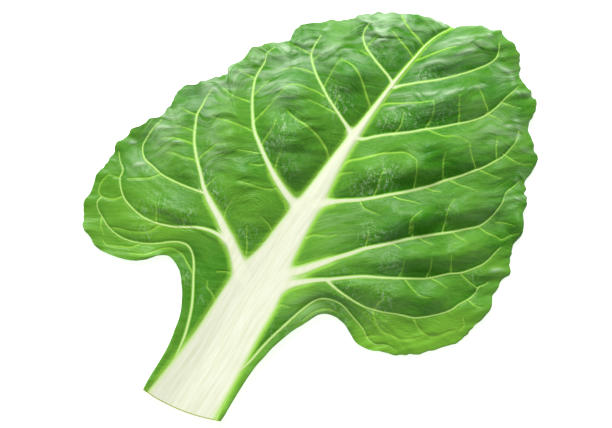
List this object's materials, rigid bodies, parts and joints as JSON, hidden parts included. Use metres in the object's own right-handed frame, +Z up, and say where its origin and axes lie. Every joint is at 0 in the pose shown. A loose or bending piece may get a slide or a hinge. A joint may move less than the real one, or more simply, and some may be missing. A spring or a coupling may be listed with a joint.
{
  "type": "chard leaf",
  "caption": "Single cut leaf of broad-ribbed chard lying face up, with a thick pale stalk and midrib, branching pale veins and a puckered, ruffled green blade.",
  "frame": {"origin": "bottom centre of the leaf's bounding box, on the surface it lies on", "axes": "+Y from the cut end of the stalk to the tip, +Z up out of the upper face, +X to the leaf's right"},
  "size_m": [0.2384, 0.3004, 0.0278],
  "materials": {
    "leaf": "fresh leaf: satin waxy green blade with an ivory white stalk, midrib and veins"
  },
  "bodies": {
    "root": {"chard_leaf": "leaf"}
  },
  "joints": []
}
